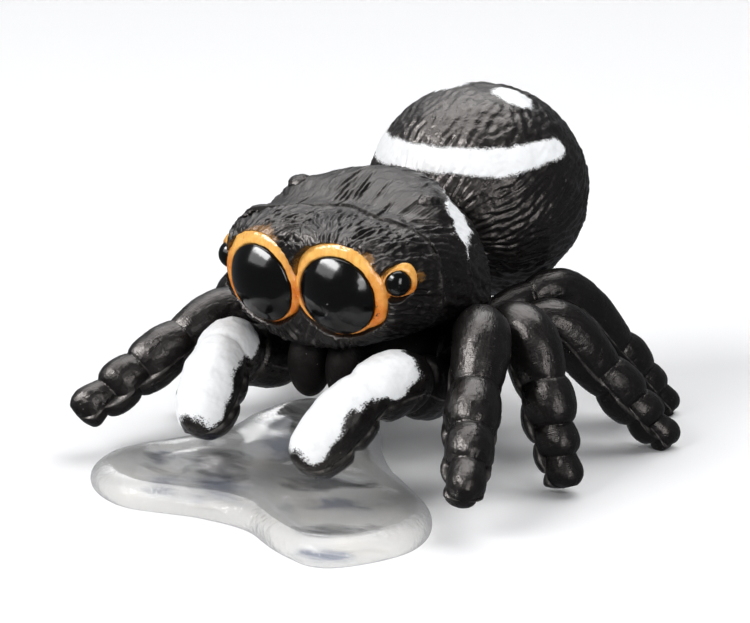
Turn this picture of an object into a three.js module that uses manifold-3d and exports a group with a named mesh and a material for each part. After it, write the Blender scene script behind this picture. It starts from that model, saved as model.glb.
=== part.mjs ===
// Jumping spider toy figure, moulded in soft black plastic, on a clear three-lobed display base.
// Millimetres, +Z up. The spider looks along -Y and its left side is +X. Modelling starts from a
// point on the floor below the middle of the face; the finished group is then set with the
// centre of its outline's underside at the origin.
import * as THREE from 'three';
import { mergeVertices } from 'three/addons/utils/BufferGeometryUtils.js';
import Module from 'manifold-3d';

const wasm = await Module();
wasm.setup();

// ---------------------------------------------------------------- driving dimensions
const GAP = 0.3; // clearance between neighbouring pieces
const SIDES = 10; // facets round a limb
const DEEP = 1.12; // limbs are a little deeper than wide

const BASE_THICK = 2.6;
const BASE_EDGE = 0.9; // rounding of the base's rim
const BASE_STEPS = 44;
// The three lobes and the waists between them, anticlockwise from the right-hand lobe.
const BASE_OUTLINE = [
  [21.8, -12.6], [20.2, -5.8], [14.4, -0.4], [8.2, 4.6], [2.6, 10.6], [-2.6, 17.4],
  [-8.6, 21.2], [-13.6, 18.4], [-14.6, 11.6], [-13.8, 4.6], [-16.4, -2.2], [-18.4, -8.4],
  [-16.2, -13.8], [-9.8, -17.2], [-1.4, -15.7], [5.2, -15.9], [11.2, -18.9], [17.6, -20.2],
];

const HEAD_SPLIT_Y = 6.9; // seam between the face moulding and the carapace moulding

const BIG_EYE = { x: 4.6, y: 0, z: 20.2, turn: 8, tilt: 12, lens: 4, dome: 5.4 };
const BIG_RIM = { above: 1.3, below: 0.6, outside: 0.8 };
const SIDE_EYE = { x: 10.5, y: 2.1, z: 21.4, turn: 42, tilt: 6, lens: 1.65, dome: 1.8 };
const SIDE_RIM = { above: 0.8, below: 0.6, outside: 0 };
const EYE_DEPTH = 1.2; // how far the lenses and their rims reach into the face
const RIM_PROUD = 0.5;
const DOME_STEPS = 4;
const REAR_EYE = { x: 8.0, y: 11, z: 27.8, r: 1.25 };
const TINY_EYE = { x: 8.7, y: 4.0, z: 26.5, r: 0.8 };

const CHELICERA = { x: 2.4, y: 4.9, z: 11, halfWidth: 2.25, halfLength: 2.4, halfHeight: 3.5 };
const BREASTPLATE = { y: 15.2, z: 12, halfWidth: 9, halfLength: 8.8, halfHeight: 3.6 };
const ABDOMEN = { y: 32.4, z: 24.8, halfWidth: 12, halfLength: 12, halfHeight: 11.6 };

// Cross-sections of the head and carapace from the brow to the waist: place along the body,
// half width, top, height of the widest line, underside, and squareness of the upper half.
const BODY_SECTIONS = [
  { y: -1.5, half: 4.8, top: 25.3, waist: 24.4, under: 23.4, square: 2.2 },
  { y: -0.9, half: 7.2, top: 26.0, waist: 23.6, under: 22.0, square: 2.4 },
  { y: -0.2, half: 8.6, top: 26.4, waist: 22.6, under: 19.0, square: 2.8 },
  { y: 0.6, half: 9.8, top: 26.6, waist: 21.4, under: 16.2, square: 3.2 },
  { y: 1.8, half: 10.8, top: 26.8, waist: 20.6, under: 14.4, square: 3.6 },
  { y: 4.2, half: 11.9, top: 27.2, waist: 19.8, under: 13.8, square: 3.6 },
  { y: 7.8, half: 13.1, top: 27.7, waist: 19.0, under: 13.4, square: 2.8 },
  { y: 11.0, half: 13.7, top: 29.2, waist: 18.4, under: 13.2, square: 2.4 },
  { y: 14.5, half: 13.5, top: 30.2, waist: 17.8, under: 13.0, square: 2.1 },
  { y: 18.0, half: 11.4, top: 29.2, waist: 17.5, under: 12.8, square: 2.0 },
  { y: 20.8, half: 8.6, top: 26.6, waist: 17.2, under: 12.9, square: 2.0 },
  { y: 22.6, half: 5.6, top: 23.0, waist: 17.0, under: 13.6, square: 2.0 },
];
const BODY_SIDES = 26;

// Legs of the left side: hip on the body, knee (top of the femur's arch), ankle (first crease),
// foot (end of the leg) and the radii from hip to toe.
const LEGS = [
  { hip: [10.6, 13.2, 12.8], knee: [16.0, 8.9, 15.8], ankle: [18.3, 4.3, 11.8], foot: [24.3, -6.4, 4.4],
    radii: { hip: 2.0, femur: 2.95, bead: 2.8, small: 2.45, toe: 1.95 } },
  { hip: [10.6, 17.0, 12.6], knee: [16.7, 15.2, 14.9], ankle: [20.1, 13.9, 10.7], foot: [24.3, 12.1, 0.8],
    radii: { hip: 1.9, femur: 2.95, bead: 2.75, small: 2.3, toe: 1.9 } },
  { hip: [10.0, 19.8, 12.6], knee: [15.2, 23.6, 13.8], ankle: [19.0, 27.0, 8.7], foot: [24.7, 32.4, 0.4],
    radii: { hip: 1.9, femur: 2.6, bead: 2.55, small: 2.2, toe: 1.7 } },
  { hip: [7.6, 21.8, 12.8], knee: [12.2, 29.2, 15.8], ankle: [15.3, 36.4, 8.9], foot: [18.3, 43.6, 0.3],
    radii: { hip: 1.9, femur: 2.35, bead: 2.2, small: 1.9, toe: 1.55 } },
];
// The right front leg is a little slimmer and its arch sits lower.
const RIGHT_FRONT_LEG = {
  ...LEGS[0],
  knee: [16.0, 8.9, 13.3],
  ankle: [18.3, 4.3, 11.3],
  radii: { ...LEGS[0].radii, femur: 2.7, bead: 2.65 },
};
const CREASE = 0.84; // a crease's radius as a share of the beads beside it
const FIRST_BEAD = 0.4; // end of the first bead along the lower leg
const SECOND_BEAD = 0.69;

// Palps: points from the mouth to the tip with the radius at each, left side.
const PALP_FEMUR = [[7.8, 12.2, 10.4, 2.2], [9.6, 9.6, 9.4, 3.1], [10.6, 6.2, 10.4, 2.9]];
const PALP_TIBIA = [[10.6, 6.2, 10.4, 2.8], [10.6, 2.6, 12.0, 3.1], [9.8, -0.6, 11.6, 2.75]];
const PALP_TARSUS = [
  [9.8, -0.6, 11.6, 2.75],
  [8.7, -3.3, 9.8, 3.3],
  [7.7, -6.0, 7.3, 3.05],
  [6.4, -9.7, 4.4, 1.95],
];
const RIGHT_PALP = { lift: 1.6, inward: 0.5 }; // held a little higher and closer in than the left

// ---------------------------------------------------------------- materials
const finish = (color, roughness) => new THREE.MeshStandardMaterial({ color, roughness, metalness: 0 });
const FINISH = {
  black: finish(0x171615, 0.5),
  eye: finish(0x050505, 0.08),
  orange: finish(0xe08a2a, 0.4),
  white: finish(0xeef0f0, 0.5),
  clear: finish(0xdfe2e3, 0.1),
};

// ---------------------------------------------------------------- solids
function solid(geometry) {
  const bare = geometry.clone();
  bare.deleteAttribute('normal');
  bare.deleteAttribute('uv');
  const merged = mergeVertices(bare, 1e-4);
  const mesh = new wasm.Mesh({
    numProp: 3,
    vertProperties: new Float32Array(merged.attributes.position.array),
    triVerts: new Uint32Array(merged.index.array),
  });
  mesh.merge();
  return new wasm.Manifold(mesh);
}

function largest(shape) {
  const pieces = shape.decompose();
  pieces.sort((a, b) => b.volume() - a.volume());
  return pieces[0];
}

function geometryOf(shape) {
  const mesh = largest(shape).getMesh();
  const geometry = new THREE.BufferGeometry();
  geometry.setAttribute('position', new THREE.BufferAttribute(new Float32Array(mesh.vertProperties), 3));
  geometry.setIndex([...mesh.triVerts]);
  return geometry;
}

function mirrored(geometry) {
  const copy = geometry.clone();
  copy.scale(-1, 1, 1);
  const corners = [...copy.index.array];
  for (let i = 0; i < corners.length; i += 3) {
    [corners[i], corners[i + 1]] = [corners[i + 1], corners[i]];
  }
  copy.setIndex(corners);
  return copy;
}

const cut = (shape, ...cutters) => cutters.reduce((left, cutter) => left.subtract(cutter), shape);
const join = (first, ...others) => others.reduce((sum, other) => sum.add(other), first);

const figure = new THREE.Group();
function place(name, geometry, material) {
  geometry.computeVertexNormals();
  const mesh = new THREE.Mesh(geometry, material);
  mesh.name = name;
  figure.add(mesh);
}

function placePair(name, geometry, material) {
  place(`${name}_left`, geometry, material);
  place(`${name}_right`, mirrored(geometry), material);
}

// ---------------------------------------------------------------- head and carapace
const lerp = THREE.MathUtils.lerp;

function sectionAt(y) {
  const last = BODY_SECTIONS.length - 1;
  const next = Math.max(1, BODY_SECTIONS.findIndex((s) => s.y >= Math.min(y, BODY_SECTIONS[last].y)));
  const [a, b] = [BODY_SECTIONS[next - 1], BODY_SECTIONS[next]];
  const t = (y - a.y) / (b.y - a.y);
  const mix = (key) => lerp(a[key], b[key], t);
  const [half, top, waist, under, square] = ['half', 'top', 'waist', 'under', 'square'].map(mix);
  return { y, half, top, waist, under, square };
}

function sectionPoint(section, turn, grow) {
  const upper = Math.sin(turn) >= 0;
  const power = 2 / (upper ? section.square : 2.4);
  const reach = upper ? section.top - section.waist : section.waist - section.under;
  const across = Math.sign(Math.cos(turn)) * Math.abs(Math.cos(turn)) ** power;
  const upward = Math.sign(Math.sin(turn)) * Math.abs(Math.sin(turn)) ** power;
  return new THREE.Vector3(
    across * (section.half + grow),
    section.y,
    section.waist + upward * (reach + grow),
  );
}

// A closed skin over cross-sections that face along Y, with flat ends; the wall may be grown.
function bodyShell(fromY, toY, grow = 0) {
  const between = BODY_SECTIONS.filter((s) => s.y > fromY + 0.2 && s.y < toY - 0.2);
  const sections = [sectionAt(fromY), ...between, sectionAt(toY)];
  const rings = sections.length;
  const geometry = new THREE.CylinderGeometry(1, 1, 1, BODY_SIDES, rings - 1);
  geometry.deleteAttribute('normal');
  geometry.deleteAttribute('uv');
  const position = geometry.attributes.position;
  const corner = new THREE.Vector3();
  for (let i = 0; i < position.count; i += 1) {
    corner.fromBufferAttribute(position, i);
    const section = sections[Math.round((0.5 - corner.y) * (rings - 1))];
    const turn = Math.atan2(-corner.z, corner.x);
    const onWall = Math.hypot(corner.x, corner.z) > 0.5;
    const point = onWall ? sectionPoint(section, turn, grow) : vector([0, section.y, section.waist]);
    position.setXYZ(i, point.x, point.y, point.z);
  }
  return solid(geometry);
}

// ---------------------------------------------------------------- limbs
// A turned limb: the radius along its length, bent along a curve with its back kept upward.
function bentLimb(curve, radii, sides = SIDES) {
  const length = curve.getLength();
  const profile = [new THREE.Vector2(0, 0)];
  radii.forEach(([share, radius]) => profile.push(new THREE.Vector2(radius, share * length)));
  profile.push(new THREE.Vector2(0, length));
  const geometry = new THREE.LatheGeometry(profile, sides);
  const chord = curve.getPoint(1).sub(curve.getPoint(0));
  const side = new THREE.Vector3(chord.y, -chord.x, 0).normalize();
  const position = geometry.attributes.position;
  const corner = new THREE.Vector3();
  for (let i = 0; i < position.count; i += 1) {
    corner.fromBufferAttribute(position, i);
    const share = THREE.MathUtils.clamp(corner.y / length, 0, 1);
    const along = curve.getTangentAt(share);
    const across = side.clone().addScaledVector(along, -side.dot(along)).normalize();
    const back = across.clone().cross(along);
    const centre = curve.getPointAt(share);
    centre.addScaledVector(across, corner.x).addScaledVector(back, corner.z * DEEP);
    position.setXYZ(i, centre.x, centre.y, centre.z);
  }
  return solid(geometry);
}

const vector = ([x, y, z]) => new THREE.Vector3(x, y, z);
const smooth = (points) => new THREE.CatmullRomCurve3(points.map(vector), false, 'centripetal');

// Radii over one bead, from crease to crease, as [share of the limb, radius] pairs.
function bead(from, to, startRadius, radius, endRadius) {
  const rows = [];
  for (const step of [0.18, 0.5, 0.82]) {
    const rim = lerp(startRadius, endRadius, step);
    const swell = step === 0.5 ? 1 : 0.75;
    rows.push([lerp(from, to, step), lerp(rim, radius, swell)]);
  }
  return rows;
}

// ---------------------------------------------------------------- eyes
// The frame of a round eye: its own Y axis looks out and its own Z axis points down the face.
function facing({ x, y, z, turn, tilt }) {
  const [yaw, pitch] = [THREE.MathUtils.degToRad(turn), THREE.MathUtils.degToRad(tilt)];
  const level = Math.cos(pitch);
  const out = new THREE.Vector3(Math.sin(yaw) * level, -Math.cos(yaw) * level, -Math.sin(pitch));
  const across = new THREE.Vector3(Math.cos(yaw), Math.sin(yaw), 0);
  const down = across.clone().cross(out);
  return new THREE.Matrix4().makeBasis(across, out, down).setPosition(x, y, z);
}

// A lens: a shallow dome on a short barrel.
function lens(eye, grow = 0) {
  const radius = eye.lens - GAP / 2 + grow;
  const edge = Math.asin(eye.lens / eye.dome);
  const profile = [new THREE.Vector2(0, -EYE_DEPTH - grow), new THREE.Vector2(radius, -EYE_DEPTH - grow)];
  for (let step = 0; step < DOME_STEPS; step += 1) {
    const angle = edge * (1 - step / DOME_STEPS);
    const height = eye.dome * (Math.cos(angle) - Math.cos(edge));
    profile.push(new THREE.Vector2((Math.sin(angle) / Math.sin(edge)) * radius, height + grow));
  }
  profile.push(new THREE.Vector2(0, eye.dome * (1 - Math.cos(edge)) + grow));
  const geometry = new THREE.LatheGeometry(profile, 20);
  geometry.applyMatrix4(facing(eye));
  return solid(geometry);
}

// A raised ring round a lens, broader above than below; grown, it also fills the ring's hole.
function rim(eye, { above, below, outside }, grow = 0) {
  const inner = grow > 0 ? 0 : eye.lens + GAP / 2;
  const outer = eye.lens + 1;
  const shoulder = outer - 0.4;
  const back = -EYE_DEPTH - grow;
  const front = RIM_PROUD + grow;
  const profile = grow > 0
    ? [[0, back], [outer, back], [outer, front], [0, front]]
    : [[inner, back], [outer, back], [outer, 0], [shoulder, front], [inner, front * 0.6], [inner, back]];
  const points = profile.map(([radius, height]) => new THREE.Vector2(radius, height));
  const geometry = new THREE.LatheGeometry(points, eye === BIG_EYE ? 20 : 12);
  const position = geometry.attributes.position;
  for (let i = 0; i < position.count; i += 1) {
    const radius = Math.hypot(position.getX(i), position.getZ(i));
    const [upward, outward] = radius > 0 ? [-position.getZ(i) / radius, position.getX(i) / radius] : [0, 0];
    const crown = lerp(below, above, THREE.MathUtils.smoothstep(upward, -0.3, 1));
    const band = crown + outside * THREE.MathUtils.smoothstep(outward, 0.3, 1);
    const wanted = radius > eye.lens + GAP ? eye.lens + (radius - eye.lens) * band + grow : radius;
    const scale = radius > 0 ? wanted / radius : 0;
    position.setXYZ(i, position.getX(i) * scale, position.getY(i), position.getZ(i) * scale);
  }
  geometry.applyMatrix4(facing(eye));
  return solid(geometry);
}

function oval({ x = 0, y, z, halfWidth, halfLength, halfHeight }, grow, around, down) {
  const geometry = new THREE.SphereGeometry(1, around, down);
  geometry.rotateX(Math.PI / 2);
  geometry.scale(halfWidth + grow, halfLength + grow, halfHeight + grow);
  geometry.translate(x, y, z);
  return solid(geometry);
}

function ball(x, y, z, r, around = 12, down = 8) {
  return oval({ x, y, z, halfWidth: r, halfLength: r, halfHeight: r }, 0, around, down);
}

// ---------------------------------------------------------------- the moulding of the body
const eyes = {
  ame: (grow) => lens(BIG_EYE, grow),
  ale: (grow) => lens(SIDE_EYE, grow),
  ple: (grow) => ball(REAR_EYE.x, REAR_EYE.y, REAR_EYE.z, REAR_EYE.r + grow),
  pme: (grow) => ball(TINY_EYE.x, TINY_EYE.y, TINY_EYE.z, TINY_EYE.r + grow, 10, 7),
};
Object.entries(eyes).forEach(([name, make]) => placePair(`eye_${name}`, geometryOf(make(0)), FINISH.eye));

const bothSides = (shape) => [shape, solid(mirrored(geometryOf(shape)))];
const rimsOf = (grow) => [
  ...bothSides(rim(BIG_EYE, BIG_RIM, grow)),
  ...bothSides(rim(SIDE_EYE, SIDE_RIM, grow)),
];
place('eye_rims', geometryOf(cut(join(...rimsOf(0)), ...bothSides(lens(SIDE_EYE, GAP)))), FINISH.orange);

const face = cut(
  bodyShell(BODY_SECTIONS[0].y, HEAD_SPLIT_Y - GAP / 2),
  join(...rimsOf(GAP)),
  ...bothSides(eyes.pme(GAP)),
);
place('face', geometryOf(face), FINISH.black);

const rearEnd = BODY_SECTIONS.at(-1).y;
const carapace = cut(bodyShell(HEAD_SPLIT_Y + GAP / 2, rearEnd), ...bothSides(eyes.ple(GAP)));
place('carapace', geometryOf(carapace), FINISH.black);
const bodyRoom = bodyShell(BODY_SECTIONS[0].y, rearEnd + GAP, GAP);

place('sternum', geometryOf(cut(oval(BREASTPLATE, 0, 20, 10), bodyRoom)), FINISH.black);
const underRoom = oval(BREASTPLATE, GAP, 20, 10);

const chelicera = (grow) => oval(CHELICERA, grow, 12, 8);
placePair('chelicera', geometryOf(cut(chelicera(0), bodyRoom, underRoom)), FINISH.black);

// ---------------------------------------------------------------- abdomen
const abdomen = (grow) => oval(ABDOMEN, grow, 26, 14);
const waistCurve = smooth([[0, 20.5, 16.6], [0, 23, 17.4], [0, 26, 18.8]]);
const waist = bentLimb(waistCurve, [[0, 2.8], [1, 2.8]]);
place('pedicel', geometryOf(cut(waist, bodyRoom, abdomen(GAP))), FINISH.black);
const bodyWithWaistRoom = bodyShell(HEAD_SPLIT_Y, rearEnd + GAP, GAP);
place('abdomen', geometryOf(cut(abdomen(0), bodyWithWaistRoom)), FINISH.black);
const spinnerets = join(ball(0, 43.4, 20.6, 1.5), ...bothSides(ball(1.2, 43, 21.2, 1.2)));
place('spinnerets', geometryOf(cut(spinnerets, abdomen(GAP))), FINISH.black);

// ---------------------------------------------------------------- legs
const floorRoom = solid(new THREE.BoxGeometry(200, 200, 20).translate(0, 0, -10));

function femurRadii(radii, grow) {
  return [
    [0, radii.hip + grow],
    [0.3, radii.hip + grow],
    [0.48, lerp(radii.hip, radii.femur, 0.75) + grow],
    [0.68, radii.femur + grow],
    [0.88, radii.femur * 0.96 + grow],
    [1, radii.bead * CREASE + grow],
  ];
}

function lowerLegRadii({ bead: first, small, toe }) {
  const ankle = first * CREASE;
  const upperCrease = small * CREASE;
  const lowerCrease = toe * CREASE;
  return [
    [0, ankle],
    ...bead(0, FIRST_BEAD, ankle, first, upperCrease),
    [FIRST_BEAD, upperCrease],
    ...bead(FIRST_BEAD, SECOND_BEAD, upperCrease, small, lowerCrease),
    [SECOND_BEAD, lowerCrease],
    [0.77, toe * 0.98],
    [0.86, toe],
    [0.94, toe * 0.75],
    [0.985, toe * 0.3],
  ];
}

// The two solids of a left leg, and the room that its thigh needs.
function leg({ hip, knee, ankle, foot, radii }, frontNeighbour) {
  const root = [hip[0] * 0.8, hip[1], hip[2]];
  const thigh = smooth([root, hip, knee, ankle]);
  const beyond = vector(ankle).addScaledVector(thigh.getTangentAt(1), GAP).toArray();
  const room = bentLimb(smooth([root, hip, knee, beyond]), femurRadii(radii, GAP));
  const shin = smooth([ankle, vector(ankle).lerp(vector(foot), 0.5).toArray(), foot]);
  return {
    room,
    femur: cut(bentLimb(thigh, femurRadii(radii, 0)), bodyRoom, underRoom, frontNeighbour),
    lower: cut(bentLimb(shin, lowerLegRadii(radii)), room, floorRoom),
  };
}

function legsOf(side, rows, turned) {
  let neighbour = underRoom;
  return rows.map((row, index) => {
    const { room, femur, lower } = leg(row, neighbour);
    place(`leg_${index + 1}_${side}_femur`, turned(geometryOf(femur)), FINISH.black);
    place(`leg_${index + 1}_${side}_lower`, turned(geometryOf(lower)), FINISH.black);
    neighbour = room;
    return room;
  });
}

const asBuilt = (geometry) => geometry;
const leftRooms = legsOf('left', LEGS, asBuilt);
const rightRooms = legsOf('right', [RIGHT_FRONT_LEG, ...LEGS.slice(1)], mirrored);

// ---------------------------------------------------------------- palps
function palpPart(points, startRound, endRound, grow = 0) {
  const curve = smooth(points);
  const share = (index) => index / (points.length - 1);
  const radii = points.map(([, , , radius], index) => [share(index), radius + grow]);
  if (startRound) {
    radii[0][1] *= 0.4;
    radii.splice(1, 0, [0.06, points[0][3] * 0.8 + grow]);
  }
  if (endRound) {
    const tip = points.at(-1)[3];
    radii[radii.length - 1] = [0.9, tip * 1.15 + grow];
    radii.push([0.975, tip * 0.7 + grow]);
  }
  return bentLimb(curve, radii, SIDES + 2);
}

// The three solids of a left palp, clear of the front leg, with its far end lifted and set inward.
function palp({ lift, inward }, legRoom) {
  const moved = (points, shares) => points.map(([x, y, z, r], index) => {
    return [x - inward * shares[index], y, z + lift * shares[index], r];
  });
  const tibiaPoints = moved(PALP_TIBIA, [0, 0.6, 1]);
  const tarsusPoints = moved(PALP_TARSUS, [1, 1, 1, 1]);
  const roomPast = (points, share) => {
    const [x, y, z, r] = points.at(-1);
    return join(palpPart(points, false, false, GAP), ball(x, y, z, r * share));
  };
  return {
    femur: cut(palpPart(PALP_FEMUR, true, false), bodyRoom, underRoom, legRoom),
    tibia: cut(palpPart(tibiaPoints, false, false), roomPast(PALP_FEMUR, 1.1), bodyRoom),
    tarsus: cut(palpPart(tarsusPoints, false, true), roomPast(tibiaPoints, 0.6), bodyRoom),
  };
}

function palpOf(side, pose, legRoom, turned) {
  const { femur, tibia, tarsus } = palp(pose, legRoom);
  place(`palp_${side}_femur`, turned(geometryOf(femur)), FINISH.black);
  place(`palp_${side}_tibia`, turned(geometryOf(tibia)), FINISH.black);
  place(`palp_${side}_tarsus`, turned(geometryOf(tarsus)), FINISH.white);
}
palpOf('left', { lift: 0, inward: 0 }, leftRooms[0], asBuilt);
palpOf('right', RIGHT_PALP, rightRooms[0], mirrored);

// ---------------------------------------------------------------- display base
const outline = new THREE.CatmullRomCurve3(BASE_OUTLINE.map(([x, y]) => vector([x, y, 0])), true);
const outlinePoints = outline.getPoints(BASE_STEPS).slice(0, -1);
const shape = new THREE.Shape(outlinePoints.map(({ x, y }) => new THREE.Vector2(x, y)));
const plate = new THREE.ExtrudeGeometry(shape, {
  depth: BASE_THICK - 2 * BASE_EDGE,
  bevelThickness: BASE_EDGE,
  bevelSize: BASE_EDGE,
  bevelOffset: -BASE_EDGE,
  bevelSegments: 2,
});
plate.translate(0, 0, BASE_EDGE);
place('stand_base', geometryOf(solid(plate)), FINISH.clear);

// ---------------------------------------------------------------- origin below the middle
const box = new THREE.Box3().setFromObject(figure);
const middle = box.getCenter(new THREE.Vector3());
figure.position.set(-middle.x, -middle.y, -box.min.z);

export default figure;
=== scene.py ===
import math
import random
from bisect import bisect_right

import bmesh
import bpy
from bpy.props import FloatProperty, FloatVectorProperty, PointerProperty
from mathutils import Matrix, Vector, noise
from mathutils.geometry import interpolate_bezier
from mathutils.kdtree import KDTree


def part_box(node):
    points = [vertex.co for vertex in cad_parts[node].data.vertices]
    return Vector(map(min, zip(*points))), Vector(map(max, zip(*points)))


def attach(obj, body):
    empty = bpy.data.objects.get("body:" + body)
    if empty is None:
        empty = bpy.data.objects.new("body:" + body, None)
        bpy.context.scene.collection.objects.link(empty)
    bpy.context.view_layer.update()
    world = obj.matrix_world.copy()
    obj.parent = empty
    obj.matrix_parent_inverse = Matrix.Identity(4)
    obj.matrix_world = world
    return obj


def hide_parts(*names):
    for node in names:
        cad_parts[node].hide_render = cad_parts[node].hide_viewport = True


bl_info = {
    "name": "Jumping Spider Figure",
    "version": (1, 0, 0),
    "blender": (4, 5, 0),
    "location": "View3D > Sidebar > Spider Figure",
    "description": "Models and paints a moulded jumping spider figure on its clear display base",
    "category": "Add Mesh",
}

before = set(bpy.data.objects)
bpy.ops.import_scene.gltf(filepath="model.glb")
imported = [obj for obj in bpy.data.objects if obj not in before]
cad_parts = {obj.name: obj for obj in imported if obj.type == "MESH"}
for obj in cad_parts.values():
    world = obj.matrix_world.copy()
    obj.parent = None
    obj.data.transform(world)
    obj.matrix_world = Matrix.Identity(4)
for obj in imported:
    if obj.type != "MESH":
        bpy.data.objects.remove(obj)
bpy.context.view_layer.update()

# Pieces are modelled in millimetres from a point on the floor below the middle of the face:
# the spider looks along -Y and its left side is +X. MODEL_TO_FRAME then sets them in the frame.
MM = 0.001
REAR_EYE_AT = Vector((8.0, 11.0, 27.8))


def centre_of(node):
    """The middle of a node's box, in metres."""
    low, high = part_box(node)
    return (low + high) / 2


MODEL_TO_FRAME = Matrix.Translation(centre_of("eye_ple_left") - REAR_EYE_AT * MM) @ Matrix.Scale(MM, 4)
FRAME_TO_MODEL = MODEL_TO_FRAME.inverted()

# Head and carapace, from the brow to the waist: place along the body, half width, top, height
# of the widest line, underside, and squareness of the upper half.
BODY_ROWS = [
    (-1.65, 0.4, 24.6, 24.4, 24.2, 2.0),
    (-1.5, 4.8, 25.3, 24.4, 23.4, 2.2),
    (-0.9, 7.2, 26.0, 23.6, 22.0, 2.4),
    (-0.2, 8.6, 26.4, 22.6, 19.0, 2.8),
    (0.6, 9.8, 26.6, 21.4, 15.4, 3.2),
    (1.8, 10.8, 26.8, 20.6, 14.0, 3.6),
    (4.2, 11.9, 27.2, 20.0, 13.9, 3.6),
    (7.8, 13.1, 27.7, 19.4, 14.3, 2.8),
    (11.0, 13.7, 29.2, 18.8, 14.4, 2.4),
    (14.5, 13.3, 30.2, 18.0, 14.2, 2.1),
    (18.0, 11.1, 29.2, 17.6, 13.8, 2.0),
    (20.8, 8.6, 26.6, 17.2, 13.4, 2.0),
    (22.3, 5.6, 23.0, 17.0, 13.6, 2.0),
    (22.6, 0.4, 17.4, 17.0, 16.6, 2.0),
]
LOWER_SQUARE = 2.05  # squareness of the lower half all along

SIDES = ((1, "left"), (-1, "right"))

BIG_EYE = {"at": (4.65, 0.4, 20.3), "turn": 8, "tilt": 12, "lens": 4.2, "dome": 5.4, "raised": 0.62}
SIDE_EYE = {"at": (10.45, 2.2, 21.9), "turn": 42, "tilt": 6, "lens": 1.4, "dome": 1.46, "raised": 0.35}

ABDOMEN_AT = Vector((0, 32.4, 24.8))
ABDOMEN_HALF = Vector((12, 12, 11.6))

# Legs of the left side from the front: hip, knee, ankle and foot, and the radii on the way.
LEG_KEYS = ("hip", "knee", "ankle", "foot", "radii")
LEGS = [dict(zip(LEG_KEYS, row)) for row in (
    ((10.6, 13.2, 12.8), (16.0, 8.9, 15.8), (18.3, 4.3, 11.8), (24.3, -6.4, 4.4),
     (2.0, 2.95, 2.8, 2.45, 1.95)),
    ((10.6, 17.0, 12.6), (16.7, 15.2, 14.9), (20.1, 13.9, 10.7), (24.3, 12.1, 0.8),
     (1.9, 2.95, 2.75, 2.3, 1.9)),
    ((10.0, 19.8, 12.6), (15.2, 23.6, 13.8), (19.0, 27.0, 8.7), (24.7, 32.4, 0.4),
     (1.9, 2.6, 2.55, 2.2, 1.7)),
    ((7.6, 21.8, 12.8), (12.2, 29.2, 15.8), (15.3, 36.4, 8.9), (18.3, 43.6, 0.3),
     (1.9, 2.35, 2.2, 1.9, 1.55)),
)]
RIGHT_FRONT_LEG = {**LEGS[0], "knee": (16.0, 8.9, 13.3), "ankle": (18.3, 4.3, 11.3),
                   "radii": (2.0, 2.7, 2.65, 2.45, 1.95)}
DEEP = 1.12  # limbs are a little deeper than wide

# The left palp's middle line from its root to its tip, and how the right one differs from it.
PALP = [(7.8, 12.2, 10.4), (9.6, 9.6, 9.4), (10.6, 6.2, 10.2), (10.6, 2.6, 11.6), (9.8, -0.6, 11.3),
        (8.7, -3.3, 9.7), (7.7, -5.8, 7.4), (6.6, -9.0, 5.1)]
RIGHT_PALP = {"lift": (0, 0, 0, 0.1, 0.6, 1.3, 1.5, 1.2), "inward": (0, 0, 0, 0.2, 0.4, 0.4, 0.3, 0.2)}


# ---------------------------------------------------------------- small tools
def clamp(value, low=0.0, high=1.0):
    return max(low, min(high, value))


def lerp(start, end, share):
    return start + (end - start) * share


def ease(value, start, end):
    """0 before start, 1 after end, and smooth between them."""
    share = clamp((value - start) / (end - start))
    return share * share * (3 - 2 * share)


def bell(value, width):
    return math.exp(-((value / width) ** 2))


def through(rows, place):
    """A smooth value through rows of (place, value)."""
    index = clamp(bisect_right(rows, place, key=lambda row: row[0]) - 1, 0, len(rows) - 2)
    (x0, v0), (x1, v1) = rows[index], rows[index + 1]
    xa, va = rows[max(index - 1, 0)]
    xb, vb = rows[min(index + 2, len(rows) - 1)]
    span = x1 - x0
    t = clamp((place - x0) / span)
    m0 = (v1 - va) / (x1 - xa) * span
    m1 = (vb - v0) / (xb - x0) * span
    return (
        (2 * t**3 - 3 * t**2 + 1) * v0 + (t**3 - 2 * t**2 + t) * m0
        + (3 * t**2 - 2 * t**3) * v1 + (t**3 - t**2) * m1
    )


class Path:
    """A smooth line through points, walked by a share of its length."""

    def __init__(self, points, steps=24):
        points = [Vector(point) for point in points]
        last = len(points) - 1
        slopes = [points[1] - points[0]]
        slopes += [(points[i + 1] - points[i - 1]) / 2 for i in range(1, last)]
        slopes.append(points[last] - points[last - 1])
        self.line = [points[0]]
        for i in range(last):
            handles = points[i] + slopes[i] / 3, points[i + 1] - slopes[i + 1] / 3
            self.line += interpolate_bezier(points[i], *handles, points[i + 1], steps)[1:]
        self.walked = [0.0]
        for before, after in zip(self.line, self.line[1:]):
            self.walked.append(self.walked[-1] + (after - before).length)
        self.length = self.walked[-1]

    def at(self, share):
        wanted = clamp(share) * self.length
        index = clamp(bisect_right(self.walked, wanted) - 1, 0, len(self.line) - 2)
        step = self.walked[index + 1] - self.walked[index]
        return self.line[index].lerp(self.line[index + 1], (wanted - self.walked[index]) / step)

    def along(self, share, reach=0.01):
        return (self.at(share + reach) - self.at(share - reach)).normalized()


def tree_of(points):
    """A search tree that finds the nearest of some points and its number."""
    tree = KDTree(len(points))
    for index, point in enumerate(points):
        tree.insert(point, index)
    tree.balance()
    return tree


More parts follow.
